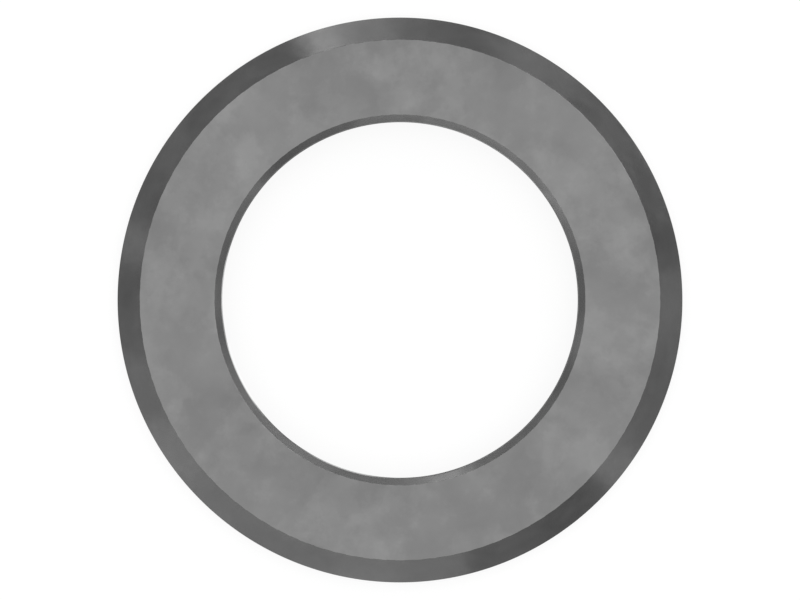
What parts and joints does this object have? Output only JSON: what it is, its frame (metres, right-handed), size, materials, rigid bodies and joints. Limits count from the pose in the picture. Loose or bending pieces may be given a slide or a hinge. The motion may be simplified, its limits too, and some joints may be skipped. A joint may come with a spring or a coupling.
{
  "type": "steel shim",
  "caption": "Flat turned steel ring that slips over a shaft to fill a gap, with a wide bevel round its rim and a fine bevel at its bore.",
  "frame": {"origin": "centre of the plain back face, on the bore's axis", "axes": "+Z along the bore's axis, from the back face to the bevelled front face; X and Y lie in the back face and are alike"},
  "size_m": [0.048, 0.048, 0.003],
  "materials": {
    "steel": "dull bare steel, with a faint cloudy mottle and no coating"
  },
  "bodies": {
    "root": {"shim": "steel"}
  },
  "joints": []
}
